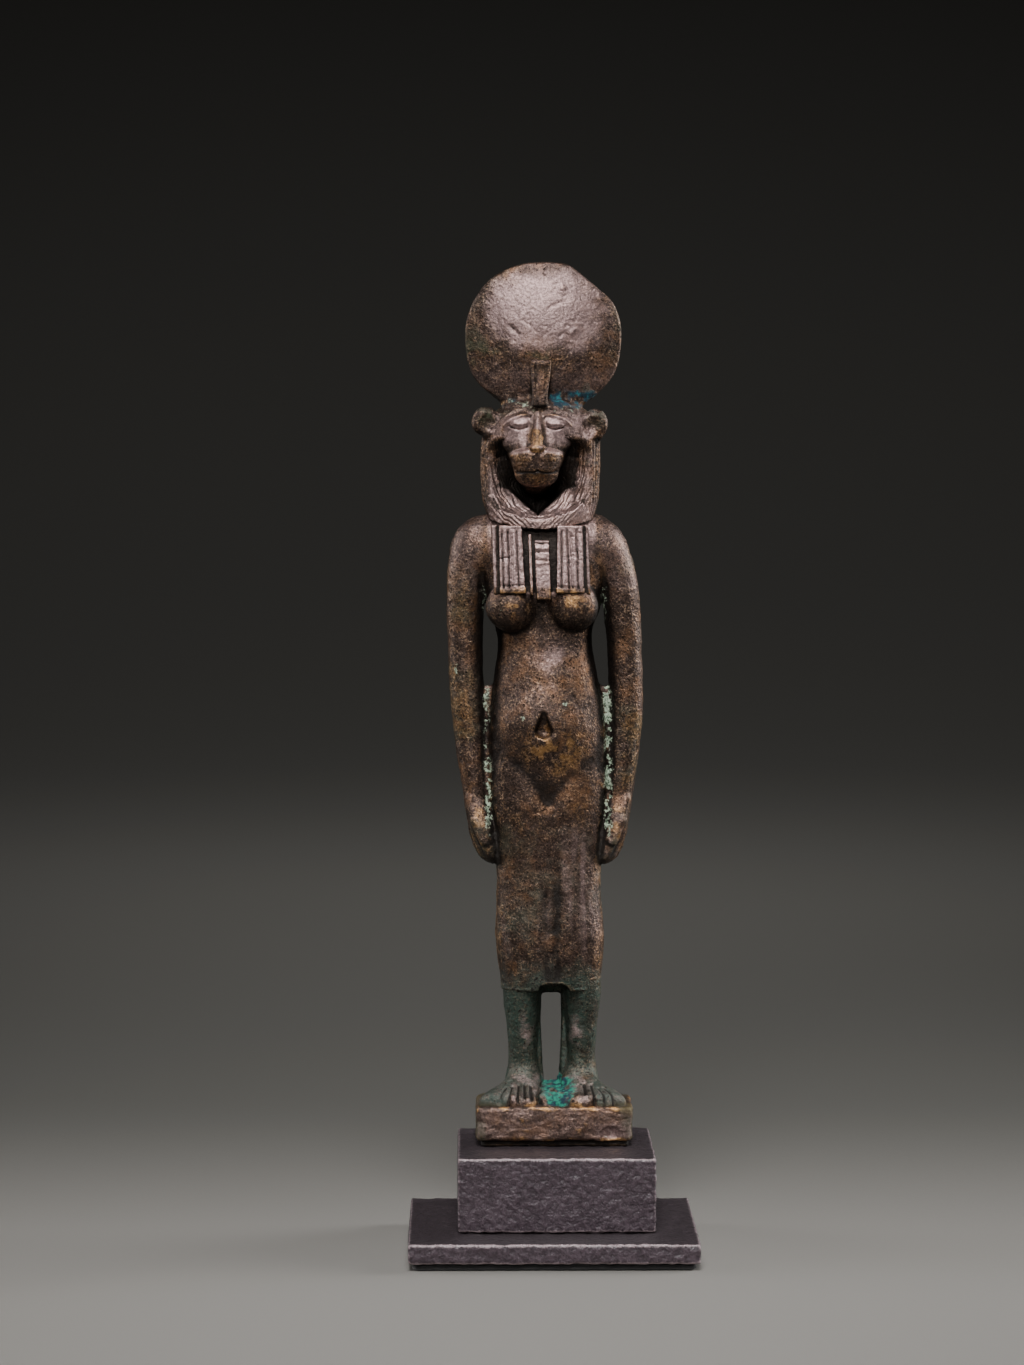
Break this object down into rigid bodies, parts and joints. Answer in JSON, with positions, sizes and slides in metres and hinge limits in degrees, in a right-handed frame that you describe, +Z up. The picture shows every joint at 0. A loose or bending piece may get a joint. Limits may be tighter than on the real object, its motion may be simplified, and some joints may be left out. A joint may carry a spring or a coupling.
{
  "type": "sekhmet statue",
  "caption": "Standing lioness-headed goddess in bronze with a sun disk on its head and arms held straight down, on a rectangular plinth and a low stepped stand.",
  "frame": {"origin": "centre of the stand's underside", "axes": "+Z up, the figure faces -Y, +X to the viewer's right"},
  "size_m": [0.0488, 0.043, 0.1678],
  "materials": {
    "bronze": "dark brown patina, worn warm on the raised parts, green corrosion in the hollows",
    "stand_paint": "plum grey paint with a fine orange-peel grain over wood",
    "felt": "black felt"
  },
  "bodies": {
    "root": {"sekhmet_figure": "bronze", "stand_block": "stand_paint", "stand_plate": "stand_paint", "stand_felt_pad": "felt"}
  },
  "joints": []
}
